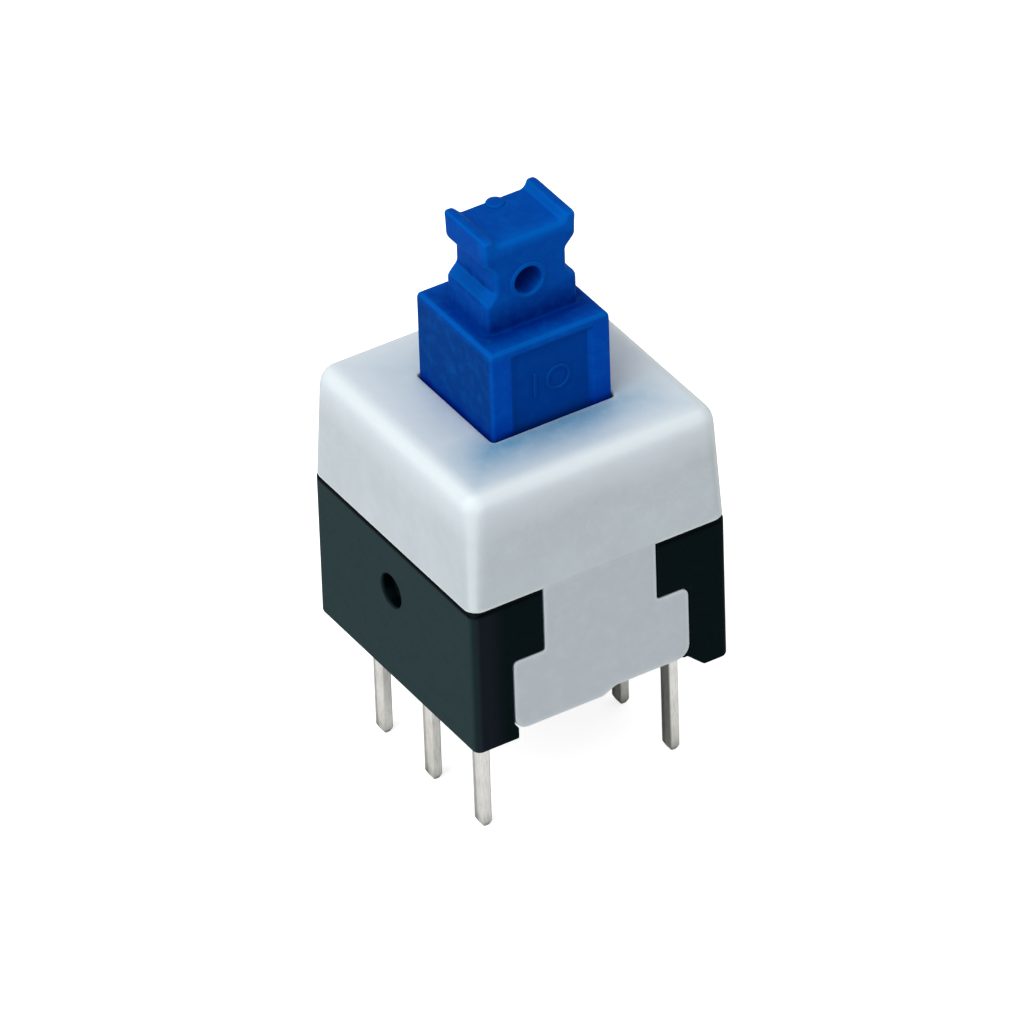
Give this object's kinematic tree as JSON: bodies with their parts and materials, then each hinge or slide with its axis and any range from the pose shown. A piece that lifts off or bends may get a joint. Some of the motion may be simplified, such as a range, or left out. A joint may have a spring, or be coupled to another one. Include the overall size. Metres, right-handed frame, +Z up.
{
  "type": "tactile push-button switch",
  "caption": "Square latching push-button switch for a circuit board, with a waisted plunger head, a cover clipped over a moulded base, and two rows of solder pins.",
  "frame": {"origin": "centre of the solder pin pattern, on the board surface under the foot rails", "axes": "+Z up along the plunger's travel, -Y towards the side with the plunger's panel and hole, -X towards the wall with the round hole"},
  "size_m": [0.008, 0.008, 0.0173],
  "materials": {
    "black_nylon": "moulded black plastic, satin",
    "white_nylon": "moulded white plastic, slightly translucent",
    "blue_acetal": "moulded blue plastic, satin",
    "spring_steel": "drawn wire, bright",
    "contact_bronze": "thin sprung sheet, bright",
    "tinned_brass": "stamped sheet with a tin plating"
  },
  "bodies": {
    "body": {"base": "black_nylon", "cover": "white_nylon", "return_spring": "spring_steel", "terminal_left_front": "tinned_brass", "terminal_left_middle": "tinned_brass", "terminal_left_back": "tinned_brass", "terminal_right_front": "tinned_brass", "terminal_right_middle": "tinned_brass", "terminal_right_back": "tinned_brass"},
    "plunger": {"plunger": "blue_acetal", "sliding_contact_left": "contact_bronze", "sliding_contact_right": "contact_bronze"},
    "latch": {"latch_wire": "spring_steel"}
  },
  "joints": [
    {"name": "plunger_press", "type": "slide", "parent": "body", "child": "plunger", "axis": [0, 0, 1], "range_m": [-0.0025, 0], "stiffness_N_per_m": 560, "springref_m": 0.00107, "deforming": ["return_spring"]},
    {"name": "latch_swing", "type": "hinge", "parent": "body", "child": "latch", "pos_m": [0, -0.002, 0.00108], "axis": [0, 1, 0], "range_deg": [0, 10.5]}
  ],
  "couplings": [
    {"joint": "latch_swing", "follows": "plunger_press", "rad_per_m": -72.689}
  ]
}
